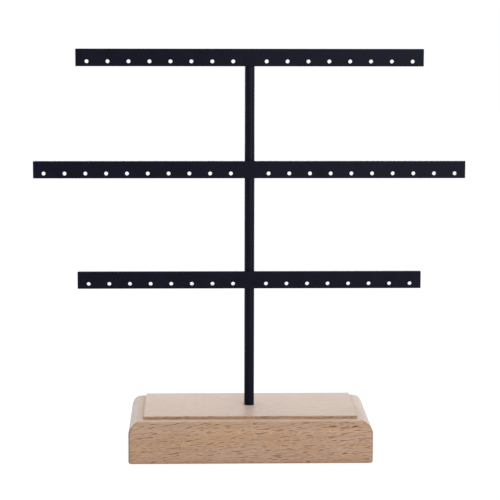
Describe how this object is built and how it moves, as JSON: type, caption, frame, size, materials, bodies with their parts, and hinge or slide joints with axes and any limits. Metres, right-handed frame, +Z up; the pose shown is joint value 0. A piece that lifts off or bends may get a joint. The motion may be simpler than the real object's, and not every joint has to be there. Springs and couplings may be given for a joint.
{
  "type": "earring display stand",
  "caption": "Free-standing tiered earring stand: perforated flat black bars on a slim round post in a stepped wooden base.",
  "frame": {"origin": "on the table, under the middle of the base's underside and on the post's axis", "axes": "+X along the bars to the right seen from the front, +Y from the front to the back, +Z up"},
  "size_m": [0.25, 0.08, 0.235],
  "materials": {
    "beech": "planed and sanded beech under a clear matt finish",
    "black_coat": "matt black powder coat on steel",
    "zinc": "bright zinc-plated steel"
  },
  "bodies": {
    "root": {"base": "beech", "post": "black_coat", "top_bar": "black_coat", "middle_bar": "black_coat", "bottom_bar": "black_coat", "weld_beads": "black_coat", "fixing_screw": "zinc", "washer": "zinc"}
  },
  "joints": []
}
